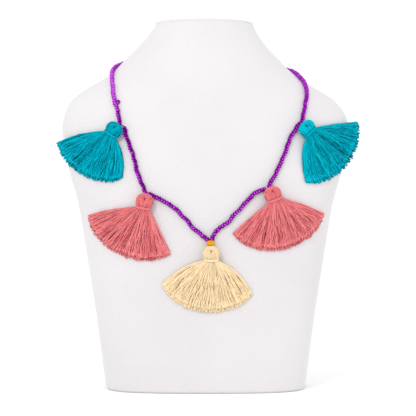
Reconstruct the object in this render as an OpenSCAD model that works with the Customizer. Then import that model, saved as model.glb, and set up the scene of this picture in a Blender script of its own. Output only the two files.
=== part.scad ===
// Tassel necklace of seed beads with five cotton tassels, on a neck bust.
// Millimetres. The bust faces -Y, +Z is up, and the table is at Z = 0.

/* [Bust] */
// Height of the bust
bust_h = 280; // [240:5:320]
// Half of the bust's width across the shoulders
bust_half_w = 110; // [100:1:120]
// Depth of the chest in front of the middle plane
bust_front = 52; // [44:1:60]
// Depth of the back behind the middle plane
bust_back = 34; // [28:1:42]
// Rounding of the bottom and top edges
bust_edge = 2; // [1:0.5:4]
// Facets round the bust
bust_sides = 48; // [32:4:64]
// Rows of facets up the bust
bust_bands = 36; // [24:2:48]

/* [Bead strands] */
// Diameter of the seed beads
bead_d = 3; // [2:0.1:4]
// Diameter of the thread
thread_d = 0.8; // [0.4:0.1:1]
// Most that one straight length of strand measures
strand_step = 9.5; // [6:0.5:9.5]

/* [Orange bead] */
// Diameter of the orange bead
orange_d = 5.6; // [4.8:0.1:7]
// Height of the orange bead along its bore
orange_h = 3.4; // [2.8:0.1:4]
// Height of the orange bead's widest part above its bottom
orange_low = 1.2; // [0.8:0.1:1.8]

/* [Clasp] */
// Length of the barrel clasp
clasp_l = 12; // [8:0.5:14]
// Diameter of the barrel clasp
clasp_d = 5; // [4:0.1:7]
// Depth that the thread goes into each end of the clasp
clasp_bore_l = 2.5; // [1.5:0.1:3]

/* [Tassels] */
// Width of a tassel head
head_w = 12.6; // [11:0.2:14]
// Height of the cream tassel's head from its top to the neck binding
head_h = 9; // [8:0.5:11]
// Thickness of a tassel head off the bust
head_t = 9.6; // [8:0.2:11]
// Width of the tied neck
neck_w = 10; // [8:0.2:10.4]
// Thickness of the tied neck
neck_t = 6.4; // [5.6:0.2:7]
// Height of the yarn wound round the neck
binding_h = 1.8; // [1.2:0.1:2.6]
// Thickness of the yarn wound round the neck
binding_t = 0.7; // [0.5:0.1:1]
// Length of a skirt from the binding to the hem
skirt_l = 37; // [30:1:42]
// Thickness of a skirt just under the binding
skirt_t = 7; // [5:0.5:8]
// Locks of yarn across a skirt
lock_count = 13; // [9:1:15]

/* [Fit] */
// Gap between a tassel, bead or clasp and the bust
lay_gap = 0.4; // [0.3:0.05:0.6]
// Gap between a strand and the bust, which the straight lengths cut into at the shoulder
strand_gap = 0.55; // [0.5:0.05:0.8]
// Gap round the thread and inside the binding
thread_gap = 0.25; // [0.15:0.05:0.3]

/* [Hidden] */

// Level sections of the bust, from the table up.
// Columns: height, half width, front depth, back depth, squareness, sideways shift of the middle.
// Shares of bust_h, bust_half_w, bust_front, bust_back, then a plain exponent, then bust_half_w.
bust_rows = [
    [0.000, 0.690, 0.885, 0.970, 3.10, 0.000],
    [0.080, 0.718, 0.920, 1.000, 3.10, 0.000],
    [0.200, 0.760, 0.960, 1.000, 3.00, 0.000],
    [0.360, 0.824, 1.000, 1.000, 2.90, 0.000],
    [0.500, 0.885, 1.000, 1.000, 2.70, 0.000],
    [0.600, 0.955, 0.955, 1.000, 2.55, 0.000],
    [0.700, 1.000, 0.845, 1.000, 2.40, 0.000],
    [0.750, 0.975, 0.770, 0.985, 2.35, -0.005],
    [0.786, 0.914, 0.705, 0.960, 2.30, -0.018],
    [0.811, 0.823, 0.665, 0.930, 2.25, -0.026],
    [0.854, 0.650, 0.600, 0.870, 2.15, -0.024],
    [0.896, 0.538, 0.545, 0.780, 2.10, -0.024],
    [0.940, 0.430, 0.515, 0.720, 2.05, -0.018],
    [0.985, 0.350, 0.500, 0.700, 2.00, -0.010],
    [1.000, 0.341, 0.500, 0.700, 2.00, -0.008]
];

// The route of the beads, left strand and right strand, each in three legs.
// First leg, clasp to upper tassel: [turn round the bust from the middle of the front, height].
// Second leg, upper to lower tassel, and third leg, to the orange bead: [out to the right, height].
strand_route = [
    [
        [[-172, 251], [-150, 251], [-128, 251], [-108, 249], [-92, 245.5], [-80, 242], [-66, 237.5],
            [-46.8, 228.5], [-37.4, 218.3], [-33.2, 209], [-31.3, 199.6]],
        [[-60.6, 198.1], [-57.3, 187], [-53, 175], [-50, 163.5], [-46, 153.5], [-43.9, 148.6]],
        [[-40.6, 147.7], [-37.4, 145.3], [-32, 143.2], [-24, 138.4], [-15.8, 130.4], [-9.8, 123.6],
            [-4, 118.3], [1.1, 114.3]]
    ],
    [
        [[172, 251], [150, 249.5], [128, 246.8], [106, 243.5], [88, 240], [75.5, 236],
            [66.2, 231.4], [52.6, 223.7], [44.1, 216.1], [40.2, 210], [36.9, 201.1]],
        [[68, 197.8], [62.5, 188.5], [58.5, 177.5], [53, 165.5], [49, 158], [46.4, 153.2]],
        [[43.1, 151.1], [39.3, 149.5], [33.6, 146], [28.2, 139.7], [23, 134.2], [17.3, 127.6],
            [11.2, 122.8], [7, 119.4], [4.9, 114.4]]
    ]
];

// Where each tassel lies and how its skirt fans out.
// Columns: out to the right and height of the middle of the binding's lower edge, lean of the head
// from straight down, height of the head as a share of head_h, first and last direction of the skirt,
// then shares of skirt_l at its left, middle and right, then how much wider the left and right edges
// spread near the binding, as a share. Directions are degrees from straight down, positive to the right.
CREAM = [4.3, 98.9, 0, 1.00, -61, 46, 0.98, 1.03, 0.96, 0.38, 0.38];
PINK_LEFT = [-45.1, 136.7, -14, 1.03, -81, 25, 1.02, 1.02, 0.96, 0.15, 0.02];
PINK_RIGHT = [50.3, 142.8, 23, 0.93, -49, 71, 0.93, 0.98, 0.96, 0.05, 0.10];
TEAL_LEFT = [-69.4, 190.4, -39, 0.92, -80, 9, 1.06, 0.95, 0.77, 0.30, 0.50];
TEAL_RIGHT = [76.9, 192.5, 47, 0.82, 1, 101, 0.90, 0.98, 0.95, 0.40, 0.10];

// The form of a head, a ball that stays full down to the binding.
// Columns: share of the head's height from its top, width and thickness as a share of the whole
head_rows = [
    [0.03, 0.36],
    [0.12, 0.64],
    [0.28, 0.87],
    [0.48, 0.98],
    [0.68, 1.00],
    [0.86, 0.97],
    [0.97, 0.90]
];
// Rings of a skirt from the binding down to the hem, as shares of its length
skirt_rings = [0, 0.12, 0.3, 0.52, 0.76, 0.94, 1];
// Columns: share of the skirt, thickness as a share of skirt_t, depth of the grooves between locks
skirt_rows = [
    [0.00, 0.92, 0.05],
    [0.12, 1.00, 0.12],
    [0.30, 0.86, 0.22],
    [0.52, 0.72, 0.32],
    [0.76, 0.60, 0.42],
    [0.94, 0.52, 0.50],
    [1.00, 0.30, 0.55]
];
// Front points and back points of a tassel ring for each lock
front_per_lock = 3;
// Share of a lock's length by which the gaps between locks are shorter
hem_notch = 0.04;
// Most that one lock's length differs from its neighbours', as a share
hem_uneven = 0.02;
// Step in degrees of the sine that sets those differences, from lock to lock and from place to place
lock_step = 137;
place_step = 40;
// The dimple in the front of a head: share of the thickness it takes, reach in degrees of the oval,
// then its place down the head and its reach up and down as shares of the head's height
dimple = 0.3;
dimple_wide = 24;
dimple_place = 0.42;
dimple_high = 0.2;
// How much thinner the two edges of a skirt are than its middle, as a share
edge_thin = 0.45;
// Share of the thickness at which the very edge of a skirt lies
edge_lift = 0.3;
// Share of the skirt by which its back has come down to the bust
touch_down = 0.25;
// Where the bust's front stops turning away under a tassel, as a share of the half width
drape_limit = 0.86;
// Half of the step along the bust's skin that its slope is taken over, in degrees or millimetres
slope_step = 0.5;
// Share of bust_edge at which the middle ring of a rounded edge lies
edge_ring = 0.3;

// Where the thread turns inside a head: share of its width from the middle, share of its thickness
eye_in_share = 0.23;
eye_lift_share = 0.22;
// How much wider the hole is where the thread turns
turn_extra = 0.03;
// How far left of the cream tassel's middle the orange bead sits
orange_aside = 0.6;
// Share of the cream head's height that the bore for the two threads goes down
cream_bore_share = 0.4;
// Half of the clear space between the two threads in the orange bead
thread_apart = 0.1;
// Bare thread that shows past the last bead of a leg, and past the orange bead
thread_step = 0.4;
thread_out = 0.6;
// Steps of the smooth curve between two points of a route
fine_steps = 8;
// The clasp's collars and tips: radius as a share of clasp_d, and length as a share of clasp_l
collar_share = 0.42;
tip_share = 0.336;
lip_share = 0.06;

strand_r = bead_d / 2;
thread_r = thread_d / 2;
tunnel_r = thread_r + thread_gap;
strand_lift = strand_r + strand_gap;
strand_sides = 8;
head_lift = lay_gap + head_t / 2;
neck_lift = lay_gap + binding_t + thread_gap + neck_t / 2;
eye_lift = lay_gap + head_t * eye_lift_share;
eye_in = head_w * eye_in_share;
front_points = lock_count * front_per_lock;
ring_points = front_points + lock_count;
orange_bore_r = thread_d + tunnel_r / 2;
orange_r = orange_d / 2;
orange_lift = orange_r + lay_gap;
clasp_lift = clasp_d / 2 + lay_gap;
clasp_height = strand_route[0][0][0][1];
binding_sides = 24;
$fn = 48;

// Plain vector helpers
function unit(v) = v / norm(v);
function signed_pow(v, e) = sign(v) * pow(abs(v), e);
function mix(a, b, share) = a + (b - a) * share;

// Smooth value of a table at a share of its first column, by cubic pieces through its rows
function row_below(rows, s, i = 0) =
    i >= len(rows) - 2 || rows[i + 1][0] > s ? i : row_below(rows, s, i + 1);
function row_slope(rows, i) =
    let (low = rows[max(i - 1, 0)], high = rows[min(i + 1, len(rows) - 1)])
    (high - low) / (high[0] - low[0]);
function smooth_row(rows, s) =
    let (i = row_below(rows, s), gap = rows[i + 1][0] - rows[i][0], u = (s - rows[i][0]) / gap)
    rows[i] * (2 * u ^ 3 - 3 * u ^ 2 + 1) + row_slope(rows, i) * gap * (u ^ 3 - 2 * u ^ 2 + u)
    + rows[i + 1] * (3 * u ^ 2 - 2 * u ^ 3) + row_slope(rows, i + 1) * gap * (u ^ 3 - u ^ 2);

// Level section of the bust: half width, front depth, back depth, squareness, shift of the middle
function section(z) =
    let (r = smooth_row(bust_rows, min(max(z / bust_h, 0), 1)))
    [r[1] * bust_half_w, r[2] * bust_front, r[3] * bust_back, r[4], r[5] * bust_half_w];

// Point of the bust's skin, by degrees round from the middle of the front and by height
function skin(turn, z, inset = 0) =
    let (s = section(z), e = 2 / s[3], deep = cos(turn) > 0 ? s[1] : s[2])
    [s[4] + (s[0] - inset) * signed_pow(sin(turn), e), -(deep - inset) * signed_pow(cos(turn), e), z];
function skin_out(turn, z) =
    let (around = skin(turn + slope_step, z) - skin(turn - slope_step, z))
    let (up = skin(turn, z + slope_step) - skin(turn, z - slope_step))
    unit(cross(around, up));
function off_skin(turn, z, lift) = skin(turn, z) + skin_out(turn, z) * lift;

// Depth of the bust's front at a place, carried on straight where the side turns away
function front_depth(x, z) =
    let (s = section(z), p = s[3], q = abs(x - s[4]) / s[0], near = min(q, drape_limit))
    let (depth = s[1] * (1 - near ^ p) ^ (1 / p))
    let (slope = s[1] * near ^ (p - 1) * (1 - near ^ p) ^ (1 / p - 1))
    depth - slope * max(q - drape_limit, 0);
// Point at a lift off the front, for what lies draped on it
function over_front(x, z, lift) =
    let (dx = front_depth(x + slope_step, z) - front_depth(x - slope_step, z))
    let (dz = front_depth(x, z + slope_step) - front_depth(x, z - slope_step))
    [x, -front_depth(x, z), z] + unit([-dx, -2 * slope_step, -dz]) * lift;

// Triangles between rings of n points each, in order along the piece
function ring_faces(rings, n) = [
    for (i = [0:rings - 2], j = [0:n - 1])
        let (a = i * n + j, b = i * n + (j + 1) % n)
        each [[a, a + n, b], [b, a + n, b + n]]
];
// Triangles from one middle point to a ring that starts at a given point
function cap_faces(middle, start, n, flip) = [
    for (j = [0:n - 1])
        let (a = start + j, b = start + (j + 1) % n)
        flip ? [middle, b, a] : [middle, a, b]
];

// Straight lengths of at most strand_step along a smooth curve through the given points
function curve_point(points, i, u) =
    let (last = len(points) - 1, a = points[i], b = points[i + 1])
    let (ta = (b - points[max(i - 1, 0)]) / (i > 0 ? 2 : 1))
    let (tb = (points[min(i + 2, last)] - a) / (i + 1 < last ? 2 : 1))
    a * (2 * u ^ 3 - 3 * u ^ 2 + 1) + ta * (u ^ 3 - 2 * u ^ 2 + u)
    + b * (3 * u ^ 2 - 2 * u ^ 3) + tb * (u ^ 3 - u ^ 2);
function fine_curve(points) = [
    for (i = [0:len(points) - 2], k = [0:fine_steps - 1]) curve_point(points, i, k / fine_steps),
    points[len(points) - 1]
];
function lengths(points, i = 0, so_far = [0]) =
    i >= len(points) - 1 ? so_far
    : lengths(points, i + 1, concat(so_far, so_far[i] + norm(points[i + 1] - points[i])));
function at_length(points, marks, want, i = 0) =
    i >= len(points) - 2 || marks[i + 1] >= want
    ? mix(points[i], points[i + 1], (want - marks[i]) / (marks[i + 1] - marks[i]))
    : at_length(points, marks, want, i + 1);
function even_curve(points) =
    let (fine = fine_curve(points), marks = lengths(fine), total = marks[len(marks) - 1])
    let (count = ceil(total / strand_step))
    [for (k = [0:count]) at_length(fine, marks, total * k / count)];

// The middle line of one leg of beads
function leg_line(side, leg) = even_curve([
    for (r = strand_route[side][leg])
        leg == 0 ? off_skin(r[0], r[1], strand_lift) : over_front(r[0], r[1], strand_lift)
]);
// Place on a tassel, turned by the head's lean: across and down from the binding's lower edge, as
// [out to the right, height], and lifted off the bust there
function spot(t, across, down) = [
    t[0] + across * cos(t[2]) + down * sin(t[2]),
    t[1] + across * sin(t[2]) - down * cos(t[2])
];
function on_tassel(t, across, down, lift) =
    let (p = spot(t, across, down))
    over_front(p[0], p[1], lift);
// How far down a tassel a share of its head's height is, counted from the head's top
function head_down(t, share) = -binding_h - head_h * t[3] * (1 - share);
// Place inside the rim of a head where the thread turns, under the yarn
function eye_point(t, side, leg) =
    let (a = strand_route[side][leg], end = a[len(a) - 1], start = strand_route[side][leg + 1][0])
    let (from = leg == 0 ? skin(end[0], end[1]) : [end[0], 0, end[1]])
    let (middle = spot(t, 0, head_down(t, 0.5)))
    let (way = unit([(from[0] + start[0]) / 2 - middle[0], (from[2] + start[1]) / 2 - middle[1]]))
    over_front(middle[0] + way[0] * eye_in, middle[1] + way[1] * eye_in, eye_lift);
function upper_tassel(side) = side == 0 ? TEAL_LEFT : TEAL_RIGHT;
function lower_tassel(side) = side == 0 ? PINK_LEFT : PINK_RIGHT;

// Where the two threads go down through the orange bead and into the cream tassel's head
cream_top = spot(CREAM, 0, head_down(CREAM, 0));
orange_top = orange_h - orange_low;
orange_middle = over_front(cream_top[0] - orange_aside, cream_top[1] + lay_gap + orange_low, orange_lift);
thread_side = thread_r + thread_apart;
cream_bore_l = head_h * cream_bore_share;
function hang_line(side) =
    let (shift = [(side * 2 - 1) * thread_side, 0, 0])
    [
        orange_middle + shift + [0, 0, orange_top + thread_out],
        orange_middle + shift - [0, 0, orange_low + cream_bore_l - thread_out]
    ];
// The thread's way out of the clasp, from inside its bore to just past its end
clasp_middle = off_skin(180, clasp_height, clasp_lift);
function clasp_line(side) = [
    for (out = [clasp_l / 2 - clasp_bore_l + thread_gap, clasp_l / 2 + thread_gap])
        clasp_middle + [(side * 2 - 1) * out, 0, 0]
];

// A tube through rows of [middle point, radius], with the first facet turned away from the bust
function away(p) = unit([p[0] * bust_front / bust_half_w, p[1], 0]);
function tube_points(rows, n) = [
    for (i = [0:len(rows) - 1])
        let (p = rows[i][0], ahead = rows[min(i + 1, len(rows) - 1)][0], behind = rows[max(i - 1, 0)][0])
        let (along = unit(ahead - behind), side = unit(cross(away(p), along)), up = cross(along, side))
        for (j = [0:n - 1]) p + rows[i][1] * (side * cos(360 * j / n) + up * sin(360 * j / n))
];
module tube(rows, n) {
    last = (len(rows) - 1) * n;
    ends = [rows[0][0], rows[len(rows) - 1][0]];
    polyhedron(
        concat(tube_points(rows, n), ends),
        concat(
            ring_faces(len(rows), n),
            cap_faces(last + n, 0, n, false),
            cap_faces(last + n + 1, last, n, true)
        )
    );
}
// A leg of beads between its two ends of bare thread
function leg_rows(side, leg) =
    let (line = leg_line(side, leg), n = len(line))
    concat(
        [[line[0] + unit(line[0] - line[1]) * thread_step, thread_r]],
        [for (p = line) [p, strand_r]],
        [[line[n - 1] + unit(line[n - 1] - line[n - 2]) * thread_step, thread_r]]
    );
module bead_strand(side) {
    color("darkviolet")
        tube(
            concat(
                [for (p = clasp_line(side)) [p, thread_r]],
                leg_rows(side, 0),
                [[eye_point(upper_tassel(side), side, 0), thread_r]],
                leg_rows(side, 1),
                [[eye_point(lower_tassel(side), side, 1), thread_r]],
                leg_rows(side, 2),
                [for (p = hang_line(side)) [p, thread_r]]
            ),
            strand_sides
        );
}

module neck_bust() {
    heights = concat(
        [0, bust_edge * edge_ring, bust_edge],
        [for (i = [1:bust_bands - 1]) bust_h * i / bust_bands],
        [bust_h - bust_edge, bust_h - bust_edge * edge_ring, bust_h]
    );
    insets = concat(
        [bust_edge, bust_edge * edge_ring],
        [for (i = [0:bust_bands]) 0],
        [bust_edge * edge_ring, bust_edge]
    );
    last = (len(heights) - 1) * bust_sides;
    color("whitesmoke")
        polyhedron(
            concat(
                [
                    for (i = [0:len(heights) - 1], j = [0:bust_sides - 1])
                        skin(360 * j / bust_sides, heights[i], insets[i])
                ],
                [[0, 0, 0], [section(bust_h)[4], 0, bust_h]]
            ),
            concat(
                ring_faces(len(heights), bust_sides),
                cap_faces(last + bust_sides, 0, bust_sides, false),
                cap_faces(last + bust_sides + 1, last, bust_sides, true)
            )
        );
}

module orange_bead() {
    color("orange")
        translate(orange_middle)
        difference() {
            intersection() {
                sphere(d = orange_d);
                translate([-orange_r, -orange_r, -orange_low]) cube([orange_d, orange_d, orange_h]);
            }
            cylinder(r = orange_bore_r, h = orange_d + 1, center = true);
        }
}

module barrel_clasp() {
    lip = clasp_l * lip_share;
    color("silver")
        translate(clasp_middle)
        rotate([0, 90, 0])
        difference() {
            union() {
                cylinder(d = clasp_d, h = clasp_l - 4 * lip, center = true);
                cylinder(r = clasp_d * collar_share, h = clasp_l - 2 * lip, center = true);
                cylinder(r = clasp_d * tip_share, h = clasp_l, center = true);
            }
            for (end = [-1, 1])
                translate([0, 0, end * clasp_l / 2])
                cylinder(r = tunnel_r, h = 2 * clasp_bore_l, center = true);
        }
}

// How far across a ring a point is, from -1 at its left to 1 at its right.
// A ring runs from right to left over the front, and back along what lies on the bust.
function ring_share(j) =
    j < front_points ? 1 - 2 * j / front_points : 2 * (j - front_points) / lock_count - 1;
// One point of a head or neck ring: an oval lifted off the bust, with the dimple pressed in
function oval_point(t, j, half_w, half_t, down, lift) =
    let (front = j < front_points, turn = ring_share(j) * 90)
    let (off = (down - head_down(t, dimple_place)) / (head_h * dimple_high))
    let (press = 1 - dimple * exp(-off ^ 2 - (turn / dimple_wide) ^ 2))
    on_tassel(t, half_w * sin(turn), down, lift + half_t * cos(turn) * (front ? press : -1));
// Share of the skirt's length at a direction: a parabola through its left, middle and right shares
function reach(t, q) = t[7] + (t[8] - t[6]) / 2 * q + ((t[8] + t[6]) / 2 - t[7]) * q * q;
// One point of a skirt ring, on the straight way from the binding to the hem
function skirt_point(t, j, s) =
    let (front = j < front_points, q = ring_share(j), lock = round((q + 1) / 2 * lock_count))
    let (groove = front ? (j % front_per_lock == 0 ? 1 : 0) : 1)
    let (row = smooth_row(skirt_rows, s))
    let (uneven = hem_uneven * sin(lock * lock_step + t[0] * place_step) * s)
    let (long = skirt_l * reach(t, q) * s * (1 - hem_notch * groove * s + uneven))
    let (spread = 1 + (1 - s) * (q < 0 ? t[9] : t[10]) * abs(q))
    let (way = mix(t[4], t[5], (q * spread + 1) / 2) - t[2])
    let (thick = skirt_t * row[1] * (1 - edge_thin * abs(q) ^ 3) * (1 - row[2] * groove))
    let (base = mix(neck_lift - neck_t / 2, lay_gap, min(s / touch_down, 1)))
    let (half = neck_w / 2 * sin(q * 90))
    on_tassel(
        t, half + long * sin(way), long * cos(way),
        front ? base + thick : (abs(q) == 1 ? base + thick * edge_lift : base)
    );
function tassel_points(t) = concat(
    [
        for (r = head_rows, j = [0:ring_points - 1])
            oval_point(t, j, head_w / 2 * r[1], head_t / 2 * r[1], head_down(t, r[0]), head_lift)
    ],
    [
        for (down = [-binding_h, 0], j = [0:ring_points - 1])
            oval_point(t, j, neck_w / 2, neck_t / 2, down, neck_lift)
    ],
    [for (s = skirt_rings, j = [0:ring_points - 1]) if (s > 0) skirt_point(t, j, s)]
);
// Triangles that close the hem, a lock at a time, between its front points and its back points
function hem_faces(start) = [
    for (k = [0:lock_count - 1])
        let (a = start + k * front_per_lock)
        let (back = start + front_points + lock_count - k, left = k == 0 ? start : back)
        let (right = start + front_points + lock_count - k - 1)
        each concat(
            [for (i = [0:front_per_lock - 1]) [right, a + i + 1, a + i]],
            k == 0 ? [] : [[right, a, left]]
        )
];
module tassel_body(t) {
    rings = len(head_rows) + 2 + len(skirt_rings) - 1;
    last = (rings - 1) * ring_points;
    polyhedron(
        concat(tassel_points(t), [on_tassel(t, 0, head_down(t, 0), head_lift)]),
        concat(
            ring_faces(rings, ring_points),
            cap_faces(last + ring_points, 0, ring_points, false),
            hem_faces(last)
        )
    );
}
// A straight round hole from one point to another, run on a little at both ends
module hole(from, to, run_on) {
    way = to - from;
    translate(from)
        rotate([0, acos(way[2] / norm(way)), atan2(way[1], way[0])])
        translate([0, 0, -run_on])
        cylinder(r = tunnel_r, h = norm(way) + run_on);
}
// A tassel that hangs where the thread turns at the end of a leg
module hung_tassel(t, side, leg, tint) {
    before = leg_line(side, leg);
    after = leg_line(side, leg + 1);
    eye = eye_point(t, side, leg);
    color(tint)
        difference() {
            tassel_body(t);
            hole(before[len(before) - 1], eye, 1);
            hole(after[0], eye, 1);
            translate(eye) sphere(r = tunnel_r + turn_extra);
        }
}
module tassel_cream() {
    color("wheat")
        difference() {
            tassel_body(CREAM);
            translate(orange_middle - [0, 0, orange_low + cream_bore_l])
                cylinder(r = orange_bore_r, h = cream_bore_l + head_h / 2);
        }
}
module tassel_pink_left() {
    hung_tassel(PINK_LEFT, 0, 1, "palevioletred");
}
module tassel_pink_right() {
    hung_tassel(PINK_RIGHT, 1, 1, "palevioletred");
}
module tassel_teal_left() {
    hung_tassel(TEAL_LEFT, 0, 0, "darkturquoise");
}
module tassel_teal_right() {
    hung_tassel(TEAL_RIGHT, 1, 0, "darkturquoise");
}

// The yarn wound round a neck: an oval ring with a rounded outside
// Columns: share of binding_h down the neck, share of binding_t outwards
binding_rows = [[0.06, 0], [0.2, 0.8], [0.5, 1], [0.8, 0.8], [0.94, 0]];
module binding(t, tint) {
    n = len(binding_rows);
    points = [
        for (i = [0:binding_sides - 1], r = binding_rows)
            let (turn = -360 * i / binding_sides, out = thread_gap + r[1] * binding_t)
            on_tassel(
                t, (neck_w / 2 + out) * cos(turn), (r[0] - 1) * binding_h,
                neck_lift + (neck_t / 2 + out) * sin(turn)
            )
    ];
    color(tint)
        polyhedron(
            points,
            [
                for (i = [0:binding_sides - 1], j = [0:n - 1])
                    let (a = i * n + j, b = i * n + (j + 1) % n)
                    let (c = ((i + 1) % binding_sides) * n + j)
                    let (d = ((i + 1) % binding_sides) * n + (j + 1) % n)
                    each [[a, c, b], [b, c, d]]
            ]
        );
}

neck_bust();
bead_strand(0);  // bead_strand_left
bead_strand(1);  // bead_strand_right
orange_bead();
barrel_clasp();
tassel_cream();
tassel_pink_left();
tassel_pink_right();
tassel_teal_left();
tassel_teal_right();
binding(CREAM, "wheat");  // binding_cream
binding(PINK_LEFT, "palevioletred");  // binding_pink_left
binding(PINK_RIGHT, "palevioletred");  // binding_pink_right
binding(TEAL_LEFT, "darkturquoise");  // binding_teal_left
binding(TEAL_RIGHT, "darkturquoise");  // binding_teal_right
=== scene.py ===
# %% [markdown]
# # A seed bead necklace with cotton tassels, on a neck bust
#
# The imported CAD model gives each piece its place. This lesson dresses it: the bust gets its
# leatherette, the plain strands become single glass beads on a thread, and each tassel becomes a
# few hundred yarns. The shapes are worked out as numpy arrays in millimetres, the unit of the CAD
# source, and written to meshes in metres, the unit of Blender and of the frame.

import bpy
import numpy as np
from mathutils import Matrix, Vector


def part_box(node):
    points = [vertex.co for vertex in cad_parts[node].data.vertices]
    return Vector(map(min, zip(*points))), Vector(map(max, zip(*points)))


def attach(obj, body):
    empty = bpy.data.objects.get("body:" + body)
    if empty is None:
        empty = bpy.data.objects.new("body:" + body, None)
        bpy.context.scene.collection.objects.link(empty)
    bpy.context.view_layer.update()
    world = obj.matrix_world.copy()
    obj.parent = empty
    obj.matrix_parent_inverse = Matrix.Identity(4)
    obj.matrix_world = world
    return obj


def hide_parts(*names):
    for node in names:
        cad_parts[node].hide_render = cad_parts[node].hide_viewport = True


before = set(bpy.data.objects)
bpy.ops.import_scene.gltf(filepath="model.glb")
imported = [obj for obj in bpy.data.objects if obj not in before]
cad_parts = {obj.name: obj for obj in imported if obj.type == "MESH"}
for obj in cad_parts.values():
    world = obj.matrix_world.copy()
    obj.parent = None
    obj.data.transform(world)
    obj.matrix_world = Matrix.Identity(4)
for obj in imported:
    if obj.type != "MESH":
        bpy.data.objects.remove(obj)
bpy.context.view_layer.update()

MM = 0.001

# %% [markdown]
# ## Arrays into meshes
#
# Every new piece here is a grid of points: a surface with two parameters, or rings carried along a
# path. So a few helpers are enough. `grid` numbers the faces between the rows of a grid and
# `closed_part` closes its ends. `make_piece` writes points, faces, UV corners and one value per
# point, called tint, to a mesh in a few whole-array calls, which is much quicker than adding vertices
# one by one.

# %% Helpers for numbers
def mix(a, b, share):
    """The value that lies at a share of the way from a to b."""
    return a + (b - a) * share


def unit(v):
    """Vectors of length one."""
    return v / np.maximum(np.linalg.norm(v, axis=-1, keepdims=True), 1e-12)


def ease(low, high, value):
    """0 below low, 1 above high, and an even S curve between: 3u^2 - 2u^3."""
    u = np.clip((value - low) / (high - low), 0, 1)
    return u * u * (3 - 2 * u)


def signed_power(value, power):
    """A power of the value without its sign, with the sign put back."""
    return np.sign(value) * np.abs(value) ** power


def bell(*offs):
    """1 where every off is 0, and less round about: e^-(the sum of their squares)."""
    return np.exp(-sum(off**2 for off in offs))


def cubic(start, end, start_slope, end_slope, u):
    """The cubic that leaves start and reaches end with the given slopes, at u from 0 to 1."""
    return (start * (2 * u**3 - 3 * u**2 + 1) + start_slope * (u**3 - 2 * u**2 + u)
            + end * (3 * u**2 - 2 * u**3) + end_slope * (u**3 - u**2))


# %% Helpers for grids
def round_turn(steps):
    """The angles of evenly spaced points round a ring."""
    return np.arange(steps) * 2 * np.pi / steps


def grid(rows, columns, loop=False):
    """Faces of four between the rows of a grid whose columns close on themselves, with their UV
    corners: u runs 0 to 1 round a row, and v is the row's number. loop joins the last row to the
    first, as in a ring."""
    row, column = np.meshgrid(np.arange(rows if loop else rows - 1), np.arange(columns), indexing="ij")
    after, beside = (row + 1) % rows, (column + 1) % columns
    faces = np.stack([row * columns + column, row * columns + beside,
                      after * columns + beside, after * columns + column], -1).reshape(-1, 4)
    u = np.stack([column, column + 1, column + 1, column], -1).reshape(-1, 4) / columns
    v = np.stack([row, row, row + 1, row + 1], -1).reshape(-1, 4)
    return faces, np.stack([u, v], -1).astype(float)


def end_faces(rows, columns):
    """The flat faces on the first and the last row of a grid. The first one is turned to face out."""
    ring = np.arange(columns)
    return np.stack([ring[::-1], (rows - 1) * columns + ring])


def closed_part(rings, tint):
    """The part made of rings of points, with a flat face at each end. A tint is one value for the
    whole part or one for each point."""
    rows, columns = rings.shape[:2]
    ends = end_faces(rows, columns)
    blocks = [grid(rows, columns), (ends, np.zeros((*ends.shape, 2)))]
    return rings.reshape(-1, 3), blocks, np.broadcast_to(tint, (rows, columns)).ravel()


def repeated(faces, count, size):
    """The faces of a piece of size points, for count pieces one after the other."""
    return (faces + (np.arange(count) * size)[:, None, None]).reshape(-1, faces.shape[1])


# %% Helpers for pieces
def joined(parts):
    """Several parts as one. A part is (points, blocks, tint), and a block is (faces, corners)."""
    points, blocks, tints, start = [], [], [], 0
    for part_points, part_blocks, tint in parts:
        points.append(part_points)
        tints.append(tint)
        blocks += [(faces + start, corners) for faces, corners in part_blocks]
        start += len(part_points)
    return np.concatenate(points), blocks, np.concatenate(tints)


def add_object(name, data):
    """A new object at the origin, in the scene."""
    new = bpy.data.objects.new(name, data)
    bpy.context.scene.collection.objects.link(new)
    return new


def make_piece(name, part, material, replaced=()):
    """Writes a part to a mesh object that rides on the root body and takes a material slot."""
    points, blocks, tint = part
    mesh = bpy.data.meshes.new(name)
    mesh.vertices.add(len(points))
    mesh.vertices.foreach_set("co", (points * MM).astype(np.float32).ravel())
    sizes = np.concatenate([np.full(len(faces), faces.shape[1]) for faces, corners in blocks])
    mesh.loops.add(int(sizes.sum()))
    numbers = np.concatenate([faces.ravel() for faces, corners in blocks])
    mesh.loops.foreach_set("vertex_index", numbers.astype(np.int32))
    mesh.polygons.add(len(sizes))
    mesh.polygons.foreach_set("loop_start", (np.cumsum(sizes) - sizes).astype(np.int32))
    mesh.update(calc_edges=True)
    places = np.concatenate([corners.ravel() for faces, corners in blocks])
    mesh.uv_layers.new(name="UVMap").data.foreach_set("uv", places.astype(np.float32))
    mesh.attributes.new("tint", "FLOAT", "POINT").data.foreach_set("value", tint.astype(np.float32))
    mesh.shade_smooth()
    mesh.materials.append(material)
    piece = add_object(name, mesh)
    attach(piece, "root")
    if replaced:
        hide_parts(*replaced)
    print(name, "has", int((sizes - 2).sum()), "triangles")


# %% [markdown]
# ## Materials from nodes
#
# Each finish is a small node graph on one Principled shader. Values that are the same all over are
# set on the shader's own sockets. What varies, such as grain, twist or dye, comes from textures on
# Object coordinates, or from the UV map and the tint that each piece carries.

# %% Helpers for node materials
def surface(name, **values):
    """A material with a Principled shader and constants on its sockets, by name with _ for a space."""
    material = bpy.data.materials.new(name)
    material.use_nodes = True
    shader = material.node_tree.nodes["Principled BSDF"]
    for key, value in values.items():
        shader.inputs[key.replace("_", " ")].default_value = value
    return material, material.node_tree, shader


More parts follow.
